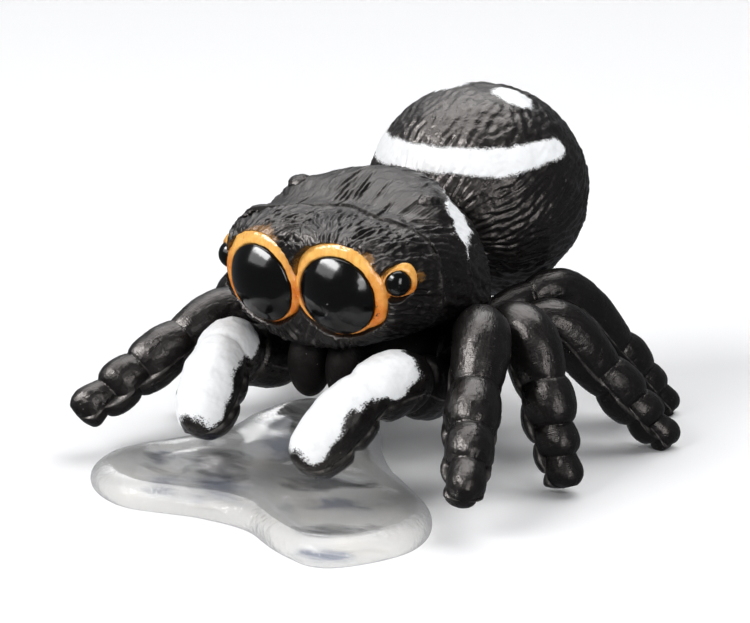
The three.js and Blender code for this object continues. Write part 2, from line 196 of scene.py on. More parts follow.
def swept(around, rings, place):
    """A closed skin of rings, each point at place(ring, angle), and each end at place(ring, None)."""
    bm = bmesh.new()
    bmesh.ops.create_uvsphere(bm, u_segments=around, v_segments=rings + 1, radius=1)
    for vert in bm.verts:
        ring = round(math.acos(clamp(vert.co.z, -1, 1)) / math.pi * (rings + 1)) - 1
        ended = ring < 0 or ring == rings
        angle = None if ended else math.atan2(vert.co.y, vert.co.x)
        vert.co = place(clamp(ring, 0, rings - 1), angle)
    bmesh.ops.recalc_face_normals(bm, faces=bm.faces)
    return bm


def join(*parts):
    """Several bmeshes as one."""
    whole = bmesh.new()
    for part in parts:
        spare = bpy.data.meshes.new("spare")
        part.to_mesh(spare)
        whole.from_mesh(spare)
        part.free()
        bpy.data.meshes.remove(spare)
    return whole


def mirror(bm):
    bmesh.ops.scale(bm, vec=(-1, 1, 1), verts=bm.verts)
    bmesh.ops.reverse_faces(bm, faces=bm.faces)


def displace(bm, depth_at):
    """Moves each point out along the skin by depth_at(place, normal)."""
    bm.normal_update()
    for vert, depth in [(v, depth_at(v.co, v.normal)) for v in bm.verts]:
        vert.co += vert.normal * depth


def lumpy(bm, *lumps):
    """Makes a skin softly uneven by lumps, each a height and how closely they follow each other."""
    displace(bm, lambda place, _: sum(height * noise.noise(place * pace) for height, pace in lumps))


def fused(bm, voxel, smoothing):
    """Solids that run into each other as one moulded skin."""
    mesh = bpy.data.meshes.new("fused")
    bm.to_mesh(mesh)
    bm.free()
    host = bpy.data.objects.new("fused", mesh)
    bpy.context.scene.collection.objects.link(host)
    remesh = host.modifiers.new("Fuse", "REMESH")
    remesh.mode = "VOXEL"
    remesh.voxel_size = voxel
    graph = bpy.context.evaluated_depsgraph_get()
    skin = bmesh.new()
    skin.from_object(host, graph)
    bpy.data.objects.remove(host)
    bpy.data.meshes.remove(mesh)
    for _ in range(smoothing):
        bmesh.ops.smooth_vert(
            skin, verts=skin.verts, factor=0.5, use_axis_x=True, use_axis_y=True, use_axis_z=True)
    return skin


def store_values(bm, name, values):
    """Keeps one number for every point of a bmesh, in the order of its points."""
    layer = bm.verts.layers.float.new(name)
    for vert, value in zip(bm.verts, values):
        vert[layer] = value


def store(bm, name, value_at):
    """Keeps value_at(place) at every point of a bmesh."""
    store_values(bm, name, [value_at(vert.co) for vert in bm.verts])


def finish_piece(bm, name, material, nodes):
    """Sets a modelled piece in the frame as an object that rides on the body and stands for its nodes."""
    bmesh.ops.transform(bm, matrix=MODEL_TO_FRAME, verts=bm.verts)
    mesh = bpy.data.meshes.new(name)
    bm.to_mesh(mesh)
    bm.free()
    mesh.shade_smooth()
    piece = bpy.data.objects.new(name, mesh)
    bpy.context.scene.collection.objects.link(piece)
    mesh.materials.append(material)
    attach(piece, "root")
    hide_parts(*nodes)
    return piece


# ---------------------------------------------------------------- carved hair
def scattered(bm, spacing, rng):
    """Points of a skin in random order, with no two nearer than the spacing."""
    taken, chosen = {}, []
    order = list(bm.verts)
    rng.shuffle(order)
    for vert in order:
        cell = tuple(int(c // spacing) for c in vert.co)
        near = (
            other
            for dx in (-1, 0, 1) for dy in (-1, 0, 1) for dz in (-1, 0, 1)
            for other in taken.get((cell[0] + dx, cell[1] + dy, cell[2] + dz), ())
        )
        if all((other - vert.co).length > spacing for other in near):
            taken.setdefault(cell, []).append(vert.co.copy())
            chosen.append(vert)
    return chosen


DEEPEST_CUT = 0.4  # where strokes cross, they cut no deeper than this
BEND_MIDDLE = 0.08  # takes a bent stroke's middle back onto its line


def carve(bm, stroke_at, spacing, rng):
    """Cuts short strokes with raised lips. stroke_at(place, normal) gives None or a stroke's
    direction, length, width, depth and bend."""
    bm.normal_update()
    tree = tree_of([vert.co for vert in bm.verts])
    depths = [0.0] * len(bm.verts)
    for seed in scattered(bm, spacing, rng):
        stroke = stroke_at(seed.co, seed.normal)
        if stroke is None:
            continue
        lie, length, width, depth, bend = stroke
        across = seed.normal.cross(lie)
        for place, index, _ in tree.find_range(seed.co, length / 2 + 2 * width):
            offset = place - seed.co
            share = offset.dot(lie) / length
            if abs(share) < 0.5:
                aside = (offset.dot(across) - bend * (share * share - BEND_MIDDLE)) / width
                groove = bell(aside, 0.75) - 0.3 * bell(abs(aside) - 1.5, 0.6)
                depths[index] -= depth * groove * math.cos(share * math.pi) ** 0.6
    for vert, depth in zip(bm.verts, depths):
        vert.co += vert.normal * max(depth, -DEEPEST_CUT)


def laid(direction, normal, turn):
    """A direction laid on the skin and turned by an angle."""
    flat = (direction - normal * direction.dot(normal)).normalized()
    return Matrix.Rotation(turn, 3, normal) @ flat


# ---------------------------------------------------------------- materials
class Look:
    """A material being built: its nodes, and the coordinates in millimetres that they read."""

    def __init__(self, name, source="object"):
        self.material = bpy.data.materials.new(name)
        self.material.use_nodes = True
        self.tree = self.material.node_tree
        self.shader = self.tree.nodes["Principled BSDF"]
        if source == "object":
            self.place = self.node("ShaderNodeTexCoord").outputs["Object"]
            self.unit = 1 / MM
        else:
            self.place = self.node("ShaderNodeAttribute", attribute_name=source).outputs["Vector"]
            self.unit = 1

    def node(self, kind, values=None, **settings):
        made = self.tree.nodes.new(kind)
        for key, value in settings.items():
            setattr(made, key, value)
        for key, value in (values or {}).items():
            if isinstance(value, bpy.types.NodeSocket):
                self.tree.links.new(value, made.inputs[key])
            else:
                made.inputs[key].default_value = value
        return made

    def noise(self, size, detail=3, stretch=(1, 1, 1), distortion=0.0):
        """Noise with features about that many millimetres across."""
        scale = [self.unit / (size * s) for s in stretch]
        mapped = self.node("ShaderNodeMapping", {"Vector": self.place, "Scale": scale}).outputs[0]
        values = {"Vector": mapped, "Scale": 1.0, "Detail": detail, "Distortion": distortion}
        return self.node("ShaderNodeTexNoise", values).outputs[0]

    def ramp(self, value, start, end, low=0.0, high=1.0):
        values = {"Value": value, "From Min": start, "From Max": end, "To Min": low, "To Max": high}
        return self.node("ShaderNodeMapRange", values).outputs[0]

    def maths(self, operation, first, second):
        return self.node("ShaderNodeMath", {0: first, 1: second}, operation=operation).outputs[0]

    def mix(self, share, first, second):
        values = {0: share, 6: first, 7: second}
        return self.node("ShaderNodeMix", values, data_type="RGBA").outputs[2]

    def attribute(self, name):
        return self.node("ShaderNodeAttribute", attribute_name=name).outputs["Fac"]

    def bump(self, height, depth, strength=1.0, normal=None):
        values = {"Height": height, "Distance": depth * MM, "Strength": strength}
        if normal is not None:
            values["Normal"] = normal
        return self.node("ShaderNodeBump", values).outputs[0]

    def set(self, **values):
        for key, value in values.items():
            socket = self.shader.inputs[key.replace("_", " ")]
            if isinstance(value, bpy.types.NodeSocket):
                self.tree.links.new(value, socket)
            else:
                socket.default_value = value


def opaque(colour, share=1.0):
    return (*(part * share for part in colour), 1.0)


def black_moulding(name, source="object", stretch=(1, 1, 1), drag=0.025, duller=0.0):
    """Satin black soft plastic: uneven sheen, drag marks of a given depth and a few pale specks."""
    colours = bpy.context.scene.figure_colours
    look = Look(name, source)
    tone = look.ramp(look.noise(2.4), 0.3, 0.7)
    body = look.mix(tone, opaque(colours.black), opaque(colours.black, 1.7))
    grains = look.ramp(look.noise(0.11, 0), 0.82, 0.84)
    pale_specks = look.maths("MULTIPLY", grains, look.ramp(look.noise(3.0, 0), 0.5, 0.6))
    look.colour = look.mix(pale_specks, body, opaque((0.2, 0.19, 0.18)))
    smoothest = colours.black_roughness + duller
    look.sheen = look.ramp(look.noise(0.6, 4, stretch), 0.32, 0.72, smoothest, smoothest + 0.14)
    streaks = look.ramp(look.noise(0.26, 4, stretch, 0.3), 0.25, 0.75)
    lumps = look.noise(1.3, 2)
    look.relief = look.bump(streaks, drag, 1.0, look.bump(lumps, 0.12))
    look.set(Base_Color=look.colour, Roughness=look.sheen, Normal=look.relief)
    look.set(IOR=1.42, Specular_Tint=(1.0, 0.93, 0.9, 1))
    return look


def painted(look, mask_name, paint, roughness, ragged, strength=1.0):
    """Hand paint over a moulding, inside the line where a stored distance in millimetres is 0."""
    grain = look.maths("SUBTRACT", look.noise(0.14, 2), 0.5)
    wobble = look.maths("SUBTRACT", look.noise(0.9, 3), 0.5)
    fine, broad = look.maths("MULTIPLY", grain, ragged * 1.2), look.maths("MULTIPLY", wobble, ragged)
    edge = look.maths("ADD", look.attribute(mask_name), look.maths("ADD", fine, broad))
    cover = look.ramp(edge, -0.13, 0.17, 0.0, strength)
    look.colour = look.mix(cover, look.colour, paint)
    look.sheen = look.node("ShaderNodeMix", {0: cover, 2: look.sheen, 3: roughness}).outputs[0]
    skin = look.node("ShaderNodeNewGeometry").outputs["Normal"]
    values = {0: look.maths("MULTIPLY", cover, 0.6), 4: look.relief, 5: skin}
    filled = look.node("ShaderNodeMix", values, data_type="VECTOR").outputs[1]
    look.relief = look.bump(cover, 0.05, 1.0, filled)
    look.set(Base_Color=look.colour, Roughness=look.sheen, Normal=look.relief)


def with_flash(look):
    """Makes the thin mould line a little paler, in patches."""
    patchy = look.ramp(look.noise(0.7), 0.35, 0.6, 0.1, 0.8)
    paler_line = look.maths("MULTIPLY", look.attribute("flash"), patchy)
    look.colour = look.mix(paler_line, look.colour, opaque((0.17, 0.16, 0.15)))
    look.set(Base_Color=look.colour)
    return look


def white_paint(look):
    """Thick white paint, thinner and greyer in the hollows between brush strokes."""
    colours = bpy.context.scene.figure_colours
    brushed = look.ramp(look.noise(0.9, 4, distortion=0.6), 0.3, 0.5)
    return look.mix(brushed, opaque(colours.white, 0.93), opaque(colours.white))


def orange_paint(look):
    """Warm orange, paler where it is thick and browner where the black shows through."""
    colours = bpy.context.scene.figure_colours
    thick = look.ramp(look.noise(1.6, 4), 0.4, 0.75, 0.0, 0.6)
    return look.mix(thick, opaque(colours.orange, 0.85), opaque(colours.pale_orange))


# ---------------------------------------------------------------- settings
def size_setting(name, description, default, most):
    """A size in metres that a user can change, from nothing up to the most."""
    return FloatProperty(
        name=name, description=description, default=default, min=0, max=most, precision=5, unit="LENGTH")


def colour_setting(name, description, default):
    """A colour that a user can change."""
    return FloatVectorProperty(
        name=name, description=description, default=default, min=0, max=1, subtype="COLOR")


class FigureSizes(bpy.types.PropertyGroup):
    """Sizes of the figure's fine forms."""

    groove_depth: size_setting("Groove depth", "Depth of the carved hair on the head", 0.00022, 0.0005)
    abdomen_groove_depth: size_setting(
        "Abdomen groove depth", "Depth of the carved hair on the abdomen", 0.00022, 0.0005)
    seam_gap: size_setting(
        "Seam gap", "Width of the crack between the face and the carapace", 0.00062, 0.001)
    flash: size_setting("Flash", "Height of the thin line left where mould halves met", 0.00013, 0.0003)
    base_hollow: size_setting(
        "Base hollow", "Depth of the shallow hollow in the top of the clear base", 0.00035, 0.001)


class FigureColours(bpy.types.PropertyGroup):
    """Colours and finishes of the figure."""

    black: colour_setting("Black plastic", "Colour of the moulded body and limbs", (0.0042, 0.0037, 0.0035))
    black_roughness: FloatProperty(
        name="Black roughness", description="Roughness of the smoothest parts of the black plastic",
        default=0.26, min=0, max=1, subtype="FACTOR")
    orange: colour_setting("Orange paint", "Colour of the painted eye rims", (0.74, 0.19, 0.013))
    # Pale orange is also the painted highlight on the upper parts of the rims.
    pale_orange: colour_setting(
        "Pale orange", "Colour of the orange paint where it is thick", (1.0, 0.56, 0.14))
    white: colour_setting(
        "White paint", "Colour of the painted bands, spots and palps", (0.94, 0.955, 0.965))
    clear: colour_setting("Clear plastic", "Tint of the clear display base", (0.72, 0.715, 0.7))
    # Painted reflection and shadow: tint of the dark patches painted into the clear base.
    reflection_shade: colour_setting("Smoke", "Tint of the smoky patches in the clear base", (0.15, 0.18, 0.26))
    floor: colour_setting("Floor", "Colour of the pale studio floor", (0.94, 0.94, 0.945))


# ---------------------------------------------------------------- where the eyes sit
def facing(eye, side):
    """The place of a round eye: its own Y axis looks out and its own Z axis points down."""
    x, y, z = eye["at"]
    yaw, pitch = math.radians(eye["turn"]), math.radians(eye["tilt"])
    out = Vector((math.sin(yaw) * math.cos(pitch), -math.cos(yaw) * math.cos(pitch), -math.sin(pitch)))
    across = Vector((math.cos(yaw), math.sin(yaw), 0))
    down = across.cross(out)
    turned = Matrix((across, out, down)).transposed().to_4x4()
    placed = Matrix.Translation((x, y, z)) @ turned
    return placed if side > 0 else Matrix.Scale(-1, 4, (1, 0, 0)) @ placed


def big_rim_width(up, out):
    """Broad over the lens and on the outer side, thin below, and just meeting at the midline."""
    above = 1.02 * ease(up, -0.1, 0.9)
    beside = 1.0 * ease(out, 0.25, 0.95) * (1 - ease(up, 0.45, 0.95)) * ease(up, -1, -0.35)
    inward = 0.5 * ease(-out, 0.55, 0.95)
    return 0.29 + max(above, beside, inward)


def side_rim_width(up, out):
    return 0.13 + 0.5 * ease(out, -0.4, 0.6) * ease(up, -1, -0.4) + 0.26 * ease(up, -0.2, 0.9)


RIMS = ((BIG_EYE, big_rim_width), (SIDE_EYE, side_rim_width))
INTO_EYE = [(facing(eye, 1).inverted(), eye["lens"], width) for eye, width in RIMS]


def set_back(place):
    """A point of the face, moved back where it would stand in front of an eye or its rim."""
    side = math.copysign(1, place.x)
    moved = Vector((abs(place.x), place.y, place.z))
    for into, radius, width in INTO_EYE:
        seat = into @ moved
        out = math.hypot(seat.x, seat.z)
        if out < radius + 4:
            beyond = out - radius - width(-seat.z / out, seat.x / out) + 0.1
            highest = -0.1 + 1.6 * max(0, beyond)
            if seat.y > highest:
                seat.y = highest
                moved = into.inverted() @ seat
    return Vector((moved.x * side, moved.y, moved.z))


# ---------------------------------------------------------------- head and carapace
class BodyForm:
    """The head and carapace as one smooth form, walked from the brow at 0 to the waist at 1."""

    STEPS = 600

    def __init__(self):
        rows = [(index, Vector(row)) for index, row in enumerate(BODY_ROWS)]
        last = len(rows) - 1
        self.sections = [through(rows, last * step / self.STEPS) for step in range(self.STEPS + 1)]
        self.walked = [0.0]
        for before, after in zip(self.sections, self.sections[1:]):
            change = after - before
            rise = max(abs(change[1]), abs(change[2]), abs(change[4]))
            self.walked.append(self.walked[-1] + math.hypot(change[0], rise))
        self.length = self.walked[-1]

    def section(self, walked):
        index = clamp(bisect_right(self.walked, walked) - 1, 0, self.STEPS - 1)
        span = self.walked[index + 1] - self.walked[index]
        share = clamp((walked - self.walked[index]) / span)
        return self.sections[index].lerp(self.sections[index + 1], share)

    def walked_to(self, y):
        return self.walked[next(i for i, section in enumerate(self.sections) if section[0] >= y)]

    def point(self, walked, angle):
        y, half, top, waist, under, square = self.section(walked)
        if angle is None:
            return Vector((0, y, waist))
        upper = math.sin(angle) >= 0
        reach, power = (top - waist, square) if upper else (waist - under, LOWER_SQUARE)
        across, up = abs(math.cos(angle)) / half, abs(math.sin(angle)) / reach
        radius = (across**power + up**power) ** (-1 / power)
        return Vector((radius * math.cos(angle), y, waist + radius * math.sin(angle)))


BODY = BodyForm()
BODY_AROUND, BODY_RINGS = 640, 146
SEAM_Y = 6.2  # the middle of the crack between the face and the carapace
SEAM_REACH = 4.0  # the mesh bends to follow the crack within this distance of it

# How far the crack between the face and the carapace runs ahead of its middle, from right to left.
SEAM_LINE = [(-13, -2.9), (-9.2, -2.7), (-4, -0.7), (1.2, 0.8), (4.7, -0.6), (7.1, -0.5),
             (11.2, 0.5), (14, 0.5)]
SEAM_ROWS = [(x, Vector((ahead, 0))) for x, ahead in SEAM_LINE]


def seam_wander(x):
    ragged = 0.12 * noise.noise(Vector((x * 0.9, 3.1, 0))) + 0.12 * noise.noise(Vector((x * 3.3, 7.7, 0)))
    return through(SEAM_ROWS, x)[0] + ragged


def seam_gap_at(x, z):
    """Half the width of the crack, wider on top of the head than down its sides."""
    width = bpy.context.scene.figure_sizes.seam_gap / MM
    uneven = 1 + 0.9 * noise.noise(Vector((x * 0.7, z * 0.7, 1.7)))
    return width / 2 * uneven * (0.2 + 0.8 * ease(z, 22, 26.5))


def body_skin(sign):
    """The closed part of the body ahead of the crack, for a sign of -1, or behind it, for 1."""
    seam = BODY.walked_to(SEAM_Y)
    start, end = (seam, BODY.length) if sign > 0 else (0.0, seam)

    def place(ring, angle):
        walked = lerp(start, end, ring / (BODY_RINGS - 1))
        if angle is None:
            return BODY.point(walked, None)
        at_seam = BODY.point(seam, angle)
        pull = 1 - ease(abs(walked - seam), 0, SEAM_REACH)
        shift = seam_wander(at_seam.x) + sign * seam_gap_at(at_seam.x, at_seam.z)
        return BODY.point(walked + pull * shift, angle)

    return swept(BODY_AROUND, BODY_RINGS, place)


def eye_middles():
    """Middles of the big and side eyes of both sides, with the radius of each."""
    found = []
    for eye in (BIG_EYE, SIDE_EYE):
        x, y, z = eye["at"]
        found += [(Vector((side * x, y, z)), eye["lens"]) for side in (1, -1)]
    return found


EYE_MIDDLES = eye_middles()
BIG_MIDDLES = EYE_MIDDLES[:2]


def nearest_eye(place, eyes):
    """A point's distance from the outside of the nearest eye, and the middle of that eye."""
    return min(((place - middle).length - radius, middle) for middle, radius in eyes)


def hair_lie(place):
    """The way the carved hair lies: out from the big eyes, then back and down over the body."""
    gap, middle = nearest_eye(place, BIG_MIDDLES)
    away = (place - middle).normalized()
    side = ease(abs(place.x), 6, 12)
    back = Vector((0.1 * place.x / 12, 1.0, -0.6 * side)).normalized()
    return away.lerp(back, ease(gap, 1.5, 7))


def hair_stroke(place, normal, rng):
    """One carved stroke on the head: close and crisp round the eyes, few and long on top, and
    broad and soft down the sides."""
    gap, _ = nearest_eye(place, EYE_MIDDLES)
    depth = bpy.context.scene.figure_sizes.groove_depth / MM
    near = 1 - ease(gap, 3.0, 5.5)
    top = ease(normal.z, 0.6, 0.88) * (1 - near)
    if gap < 0.8 or rng.random() > lerp(lerp(0.42, 0.05, top), 0.6, near):
        return None
    lie = laid(hair_lie(place), normal, rng.gauss(0, lerp(0.17, 0.1, near)))
    length = lerp(lerp(rng.uniform(1.4, 3.0), rng.uniform(3.0, 6.0), top), rng.uniform(1.4, 3.2), near)
    width = lerp(lerp(rng.uniform(0.26, 0.46), rng.uniform(0.15, 0.26), top), rng.uniform(0.15, 0.27), near)
    depth *= 0.3 + 0.7 * ease(seam_distance(place), 0.2, 1.3)
    cut = lerp(lerp(rng.uniform(0.25, 0.8), rng.uniform(0.7, 1.4), top), rng.uniform(0.35, 0.9), near)
    return lie, length, width, depth * cut, lerp(rng.uniform(-0.6, 0.6), rng.uniform(-0.25, 0.25), near)


def store_comb(bm):
    """Keeps coordinates that run along the hair, for fine streaks: round and out from the eyes
    near them, and across and back over the rest."""
    eye_round, body_round, axis = 5.0, 12, 16
    layer = bm.verts.layers.float_vector.new("comb")
    for vert in bm.verts:
        gap, middle = nearest_eye(vert.co, BIG_MIDDLES)
        offset = vert.co - middle
        turn = math.atan2(offset.x, offset.z)
        share = ease(gap, 1.5, 5.5)
        round_eye = Vector((turn * eye_round + middle.x, gap, 0))
        over = Vector((math.atan2(vert.co.x, vert.co.z - axis) * body_round, vert.co.y, 0))
        vert[layer] = round_eye.lerp(over, share)


def lip_y(x):
    """Where the carapace's back edge lies, further forward down its sides."""
    scallop = 0.22 * math.sin(abs(x) * 3.1) + 0.15 * noise.noise(Vector((abs(x) * 1.2, 0.4, 0)))
    return 17.4 - 6.3 * ease(abs(x), 4.5, 11.5) + scallop


def body_forms(place, normal):
    """Soft lumps, the lip over the mouth, the back edge and the mounds under the rear eyes."""
    lumps = 0.14 * noise.noise(place * 0.42) + 0.07 * noise.noise(place * 1.3)
    chin = 0.27 * bell(normal.z + 0.55, 0.14) * ease(7 - place.y, 0, 2.5)
    chin *= 1 + 0.8 * noise.noise(place * 1.4)
    past = place.y - lip_y(place.x)
    upper = ease(place.z, 17, 21)
    behind = 0.3 * ease(past, -0.1, 0.4) * (1 - ease(past, 2.5, 5))
    back_edge = (0.16 * bell(past + 0.3, 0.4) - behind) * upper
    mirrored = Vector((abs(place.x), place.y, place.z))
    mound = 0.7 * bell((mirrored - REAR_EYE_AT).length, 2.6)
    small = 0.42 * bell((mirrored - Vector((8.7, 4.0, 26.4))).length, 1.5)
    return lumps + chin + back_edge + mound + small


def seam_distance(place):
    """How far a point is from the line of the crack, in millimetres along the body."""
    return abs(place.y - SEAM_Y - seam_wander(place.x))


def seam_depth(place):
    """1 inside the crack, where shade is painted, and 0 on the skin beside it."""
    gap = seam_gap_at(place.x, place.z)
    return 1 - ease(seam_distance(place), gap + 0.02, gap + 0.13)


HAIR_SPACING = 0.62


def build_body(node, sign, seed):
    """Models the face or the carapace with its carved hair, and marks where it is painted."""
    bm = body_skin(sign)
    rng = random.Random(seed)
    displace(bm, body_forms)
    carve(bm, lambda place, normal: hair_stroke(place, normal, rng), HAIR_SPACING, rng)
    lip = -0.22 if sign < 0 else -0.05
    displace(bm, lambda place, _: lip * bell(seam_distance(place), 0.4))
    if sign < 0:
        for vert in bm.verts:
            vert.co = set_back(vert.co)
    store(bm, "orange_line", smear_distance)
    store(bm, "white_line", crescent_distance)
    # Marks the crack, where painted shade goes.
    store(bm, "crack", seam_depth)
    store_comb(bm)
    finish_piece(bm, f"{node}_moulding", head_look(), [node])


# Smears of orange paint on the skin beside the rims: middle and reach.
SMEARS = [((-3.7, -1.2, 25.4), 1.3), ((-5.3, -1.1, 25.5), 0.9), ((-2.2, -1.0, 24.6), 0.8),
          ((12.0, 4.1, 22.5), 0.45), ((8.2, 0.2, 24.1), 0.7)]


def smear_distance(place):
    """How far inside the thin orange smears round the eye rims a point lies."""
    smears = max(reach - (place - Vector(at)).length for at, reach in SMEARS)
    ring_reach = 5.35 if place.z > 20.2 else 4.3
    rings = max(ring_reach - (place - middle).length for middle, _ in BIG_MIDDLES)
    return max(smears, rings)


def crescent_distance(place):
    """How far inside the white crescents behind the carapace's back edge a point lies."""
    past = place.y - lip_y(place.x)
    wide = 3.2 * ease(abs(place.x), 6.4, 9.2)
    return min(past + 0.05, wide - past, place.z - 23.3 - 0.45 * past, abs(place.x) - 7.0)


class BuildFace(bpy.types.Operator):
    """Model the face moulding with its carved hair"""

    bl_idname = "spider_figure.face"
    bl_label = "Face"

    def execute(self, context):
        build_body("face", -1, seed=11)
        return {"FINISHED"}


class BuildCarapace(bpy.types.Operator):
    """Model the carapace moulding with its back edge and carved hair"""

    bl_idname = "spider_figure.carapace"
    bl_label = "Carapace"

    def execute(self, context):
        build_body("carapace", 1, seed=12)
        return {"FINISHED"}


# Painted shade: near-black colour painted into the crack between the face and the carapace.
CRACK_PAINTED_SHADE = (0.0006, 0.0005, 0.0005)


def head_look():
    """Black moulding with orange smears round the eyes, a white crescent at the back and painted shade in
    the crack.
    """
    name = "head black plastic"
    if name in bpy.data.materials:
        return bpy.data.materials[name]
    look = black_moulding(name, "comb", (0.75, 5, 1), 0.04)
    painted(look, "orange_line", (0.36, 0.16, 0.02, 1), 0.42, 1.1, 0.5)
    painted(look, "white_line", white_paint(look), 0.5, 1.7)
    # Painted shade: the crack is painted near black and made fully rough.
    crack = look.attribute("crack")
    look.set(Base_Color=look.mix(crack, look.colour, opaque(CRACK_PAINTED_SHADE)))
    look.set(Roughness=look.node("ShaderNodeMix", {0: crack, 2: look.sheen, 3: 1.0}).outputs[0])
    return look.material


# ---------------------------------------------------------------- eyes and their rims
LENS_DEPTH = 1.2  # how far a lens's barrel goes into the face
RIM_PROUD = 0.62  # how far a rim stands out of the face


def lens(eye, side):
    """A glossy dome on a short barrel that sits in the face."""
    radius, dome = eye["lens"] - 0.05, eye["dome"]
    edge = math.asin(radius / dome)
    around, barrel, rings = 72, 6, 40

    def place(ring, angle):
        if ring < barrel:
            out = radius * min(1, (ring + 1) / 3)
            height = lerp(-LENS_DEPTH, eye["raised"], ring / barrel)
        else:
            turn = edge * (1 - (ring - barrel) / (rings - barrel - 1))
            out = dome * math.sin(turn)
            height = dome * (math.cos(turn) - math.cos(edge)) + eye["raised"]
        if angle is None:
            return Vector((0, height, 0))
        return Vector((out * math.cos(angle), height, out * math.sin(angle)))

    bm = swept(around, rings, place)
    bmesh.ops.transform(bm, matrix=facing(eye, side), verts=bm.verts)
    bmesh.ops.recalc_face_normals(bm, faces=bm.faces)
    return bm


def rim(eye, side, thickness_at):
    """A raised flat band round a lens. thickness_at(up, out) gives its width."""
    bm = bmesh.new()
    inner = eye["lens"] - 0.1
    bmesh.ops.create_circle(bm, segments=20, radius=1, matrix=Matrix.Translation((2, 0, 0)))
    ring = list(bm.edges) + list(bm.verts)
    bmesh.ops.spin(
        bm, geom=ring, cent=(0, 0, 0), axis=(0, 1, 0), angle=2 * math.pi, steps=140, use_merge=True)
    for vert in bm.verts:
        radius = math.hypot(vert.co.x, vert.co.z)
        across, height = radius - 2, vert.co.y
        outward, upward = vert.co.x / radius, -vert.co.z / radius
        share = 0.5 + 0.5 * math.copysign(abs(across) ** 0.7, across)
        wanted = inner + thickness_at(upward, outward) * share
        lean = 0.5 + 0.42 * ease(upward, 0.1, 0.85)
        up = RIM_PROUD * (height**0.85 - lean * share) if height > 0 else -1.3 * abs(height) ** 0.5
        vert.co = Vector((vert.co.x / radius * wanted, up, vert.co.z / radius * wanted))
    bmesh.ops.transform(bm, matrix=facing(eye, side), verts=bm.verts)
    bmesh.ops.recalc_face_normals(bm, faces=bm.faces)
    return bm


# Where the rims are chipped.
WORN = [(7.9, -0.2, 17.4), (8.5, 0.2, 18.4), (7.0, -0.3, 16.6), (-7.9, 0.0, 17.6)]


class BuildEyes(bpy.types.Operator):
    """Model the eyes as glossy domes"""

    bl_idname = "spider_figure.eyes"
    bl_label = "Eyes"

    def execute(self, context):
        gloss = eye_look("eye gloss black", 0.12)
        satin = black_moulding("small eye satin black", drag=0.04).material
        for side, word in SIDES:
            for eye, name in ((BIG_EYE, "eye_ame"), (SIDE_EYE, "eye_ale")):
                finish_piece(lens(eye, side), f"{name}_{word}_lens", gloss, [f"{name}_{word}"])
            for name, flat, lift in (("eye_ple", 0.8, 0.25), ("eye_pme", 0.7, -0.8)):
                node = f"{name}_{word}"
                low, high = (FRAME_TO_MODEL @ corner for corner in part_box(node))
                middle, radius = (low + high) / 2 + Vector((0, 0, lift)), (high.x - low.x) / 2
                bm = bmesh.new()
                bmesh.ops.create_icosphere(bm, subdivisions=5, radius=radius)
                bmesh.ops.scale(bm, vec=(1.05, 1.12, flat), verts=bm.verts)
                bmesh.ops.translate(bm, vec=middle, verts=bm.verts)
                lumpy(bm, (0.1, 1.1), (0.05, 3))
                finish_piece(bm, f"{node}_bead", satin, [node])
        return {"FINISHED"}


class BuildRims(bpy.types.Operator):
    """Model the raised orange rims as one fused moulding"""

    bl_idname = "spider_figure.rims"
    bl_label = "Eye rims"

    def execute(self, context):
        rings = []
        for side, _ in SIDES:
            rings += [rim(eye, side, width) for eye, width in RIMS]
        bm = fused(join(*rings), voxel=0.085, smoothing=2)
        lumpy(bm, (0.07, 1.1), (0.025, 4))
        store(bm, "worn", lambda place: max(0.34 * bell((place - Vector(at)).length, 0.8) for at in WORN))
        # Painted highlight: this value rises towards the top of the rims, where the paint is painted paler
        # as if lit.
        store(bm, "thick", lambda place: ease(place.z, 20.8, 24.4))
        finish_piece(bm, "eye_rims_moulding", rim_look(), ["eye_rims"])
        return {"FINISHED"}


def eye_look(name, roughness):
    """Deep black gloss with a very faint unevenness."""
    look = Look(name)
    uneven = look.ramp(look.noise(1.2, 4), 0.35, 0.75, roughness, roughness + 0.07)
    look.set(Base_Color=(0.002, 0.002, 0.002, 1), Roughness=uneven, IOR=1.4)
    look.set(Normal=look.bump(look.noise(1.8, 3), 0.035))
    return look.material


def rim_look():
    """Orange paint with dark chips where it is worn, and a painted highlight: paler towards the top of the
    rims.
    """
    colours = bpy.context.scene.figure_colours
    look = Look("eye rim orange paint")
    colour = orange_paint(look)
    worn = look.maths("ADD", look.noise(0.45, 4, distortion=1.0), look.attribute("worn"))
    chips = look.ramp(worn, 0.74, 0.78)
    # Painted highlight: the rims' upper parts, marked by the stored thick value, are painted pale orange in
    # streaks.
    streak = look.ramp(look.noise(0.25, 2, (1, 1, 4)), 0.35, 0.7)
    thick = look.maths("MULTIPLY", look.attribute("thick"), look.ramp(streak, 0, 1, 0.6, 1.0))
    colour = look.mix(thick, colour, opaque(colours.pale_orange))
    look.set(Base_Color=look.mix(chips, colour, (0.05, 0.02, 0.01, 1)))
    look.set(Roughness=look.ramp(look.noise(0.6), 0.3, 0.7, 0.13, 0.3))
    look.set(Normal=look.bump(look.noise(0.4, 3), 0.05))
    return look.material


# ---------------------------------------------------------------- abdomen
def sphere_angles(place):
    """Bearing from the front towards the left, and height, of a point of the abdomen, in degrees."""
    x, y, z = ((place[i] - ABDOMEN_AT[i]) / ABDOMEN_HALF[i] for i in range(3))
    height = math.asin(clamp(z / math.hypot(x, y, z), -1, 1))
    return math.degrees(math.atan2(x, -y)), math.degrees(height)


SPOTS = ((1, 4.35, 32.2), (-1, -3.3, 31.6))  # side and place of the white spots on top


